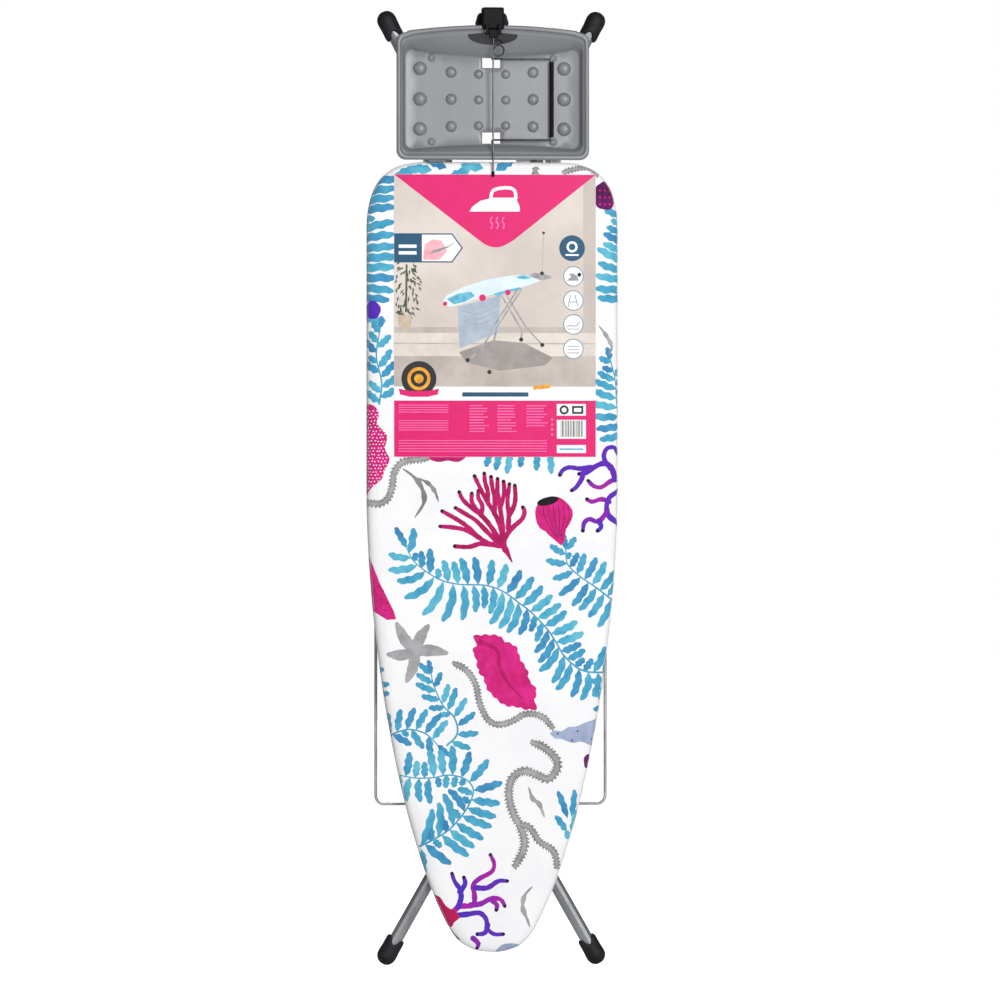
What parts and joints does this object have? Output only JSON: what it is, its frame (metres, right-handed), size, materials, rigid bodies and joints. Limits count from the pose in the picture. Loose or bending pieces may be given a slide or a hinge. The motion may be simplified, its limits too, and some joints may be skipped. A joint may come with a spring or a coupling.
{
  "type": "ironing board",
  "caption": "Folding ironing board: padded tapered top, scissor tube legs with splayed rubber feet, wire linen rack, moulded iron tray with wire bail and cord guide.",
  "frame": {"origin": "centre of the bounding box at floor level, under the folded board as it stands on its lower feet", "axes": "+Z from the nose end up to the iron tray; +X to the right as seen facing the cover; -Y out of the cover, +Y out of the underside where the legs are"},
  "size_m": [0.3792, 0.0724, 1.4454],
  "materials": {
    "painted_steel": "satin silver-grey paint",
    "zinc_steel": "zinc plated, lightly worn",
    "mesh_steel": "satin light grey paint",
    "tray_plastic": "satin moulded polypropylene",
    "black_plastic": "satin black nylon",
    "charcoal_rubber": "matte",
    "nylon": "smooth",
    "cotton": "woven cotton with a sea-life print",
    "foam": "needled felt",
    "card": "coated printed card"
  },
  "bodies": {
    "board": {"mesh_top": "mesh_steel", "top_rim": "painted_steel", "foam_pad": "foam", "cover": "cotton", "cross_brace_lower": "painted_steel", "cross_brace_upper": "painted_steel", "cross_brace_pivot": "painted_steel", "cross_brace_end": "painted_steel", "rail_left": "zinc_steel", "rail_right": "zinc_steel", "pivot_bracket": "zinc_steel", "tray_arm_left": "zinc_steel", "tray_arm_right": "zinc_steel", "iron_tray": "tray_plastic", "tray_badge": "black_plastic", "tray_screw_1": "zinc_steel", "tray_screw_2": "zinc_steel", "tray_screw_3": "zinc_steel", "tray_screw_4": "zinc_steel", "cord_clip_body": "black_plastic", "cord_hinge_pin": "zinc_steel", "retail_card": "card", "lever_bracket_lower": "zinc_steel", "lever_bracket_upper": "zinc_steel", "lever_spring": "zinc_steel"},
    "leg_a": {"leg_a_tube_left": "painted_steel", "leg_a_tube_right": "painted_steel", "leg_a_axle": "zinc_steel", "leg_a_brace": "painted_steel", "leg_a_foot_left": "charcoal_rubber", "leg_a_foot_right": "charcoal_rubber", "rack_clip_left": "black_plastic", "rack_clip_right": "black_plastic", "scissor_rivet_left": "zinc_steel", "scissor_rivet_right": "zinc_steel"},
    "leg_b": {"leg_b_tube_left": "painted_steel", "leg_b_tube_right": "painted_steel", "slider_pin_left": "zinc_steel", "slider_pin_right": "zinc_steel", "slider_bush_left": "nylon", "slider_bush_right": "nylon", "leg_b_brace": "painted_steel", "leg_b_foot_left": "charcoal_rubber", "leg_b_foot_right": "charcoal_rubber"},
    "rack": {"rack_frame": "painted_steel", "rack_top_bar": "painted_steel", "rack_wire_1": "painted_steel", "rack_wire_2": "painted_steel", "rack_wire_3": "painted_steel", "rack_wire_4": "painted_steel"},
    "bail": {"bail_wire": "zinc_steel", "bail_sleeve": "black_plastic"},
    "cord_guide": {"cord_guide_rod": "zinc_steel", "cord_guide_holder": "black_plastic", "cord_guide_tip": "black_plastic"},
    "lever": {"lock_bar": "zinc_steel", "lever_shaft": "zinc_steel", "lever_arm": "zinc_steel", "lever_grip": "black_plastic"},
    "thumb_screw": {"cord_clip_thumb_screw": "black_plastic"}
  },
  "joints": [
    {"name": "legs_unfold", "type": "hinge", "parent": "board", "child": "leg_a", "pos_m": [0, 0.0146, 0.991], "axis": [1, 0, 0], "range_deg": [0, 60]},
    {"name": "legs_scissor", "type": "hinge", "parent": "leg_a", "child": "leg_b", "pos_m": [0, 0.0146, 0.721], "axis": [1, 0, 0], "range_deg": [-120, 0]},
    {"name": "rack_swing", "type": "hinge", "parent": "leg_a", "child": "rack", "pos_m": [0, 0.0306, 0.243], "axis": [1, 0, 0], "range_deg": [-60, 0]},
    {"name": "bail_lift", "type": "hinge", "parent": "board", "child": "bail", "pos_m": [0, 0.0001, 1.3073], "axis": [0, 0, 1], "range_deg": [-50, 0]},
    {"name": "cord_guide_lift", "type": "hinge", "parent": "board", "child": "cord_guide", "pos_m": [0, -0.0329, 1.409], "axis": [1, 0, 0], "range_deg": [-180, 0]},
    {"name": "lever_squeeze", "type": "hinge", "parent": "board", "child": "lever", "pos_m": [0.108, 0.0166, 0.59], "axis": [0, 0, 1], "range_deg": [-8, 0], "stiffness_Nm_per_rad": 1.5, "springref_deg": 2.86},
    {"name": "thumb_screw_turn", "type": "hinge", "parent": "board", "child": "thumb_screw", "pos_m": [0, -0.0004, 1.4226], "axis": [0, 1, 0], "continuous": true}
  ],
  "couplings": [
    {"joint": "legs_scissor", "follows": "legs_unfold", "ratio": -2},
    {"joint": "rack_swing", "follows": "legs_unfold", "ratio": -1}
  ]
}
